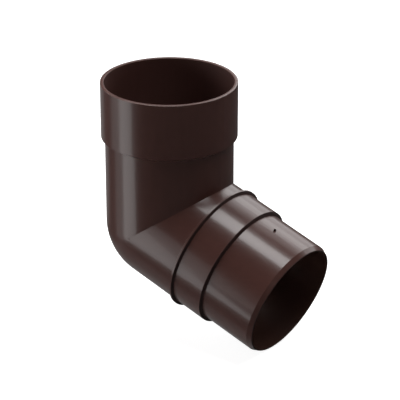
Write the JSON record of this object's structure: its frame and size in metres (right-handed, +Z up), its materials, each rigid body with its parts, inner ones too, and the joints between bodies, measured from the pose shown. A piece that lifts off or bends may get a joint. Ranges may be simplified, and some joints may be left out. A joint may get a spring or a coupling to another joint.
{
  "type": "downspout elbow",
  "caption": "Round plastic downspout elbow: an upright pipe socket, a sharp mitred bend with a ball-shaped back, and a sloping leg with a stop rib and a stepped spigot.",
  "frame": {"origin": "on the socket's axis, in the plane of the seat where the end of the downpipe stops", "axes": "+Z runs up the socket's axis and out of its mouth; +X is the side that the leg leaves towards, 18 degrees below level; the XZ plane is the mirror plane of all but the small slot"},
  "size_m": [0.1562, 0.09, 0.1668],
  "materials": {
    "brown_plastic": "semi-gloss chocolate-brown rigid plastic, coloured through"
  },
  "bodies": {
    "root": {"elbow": "brown_plastic"}
  },
  "joints": []
}
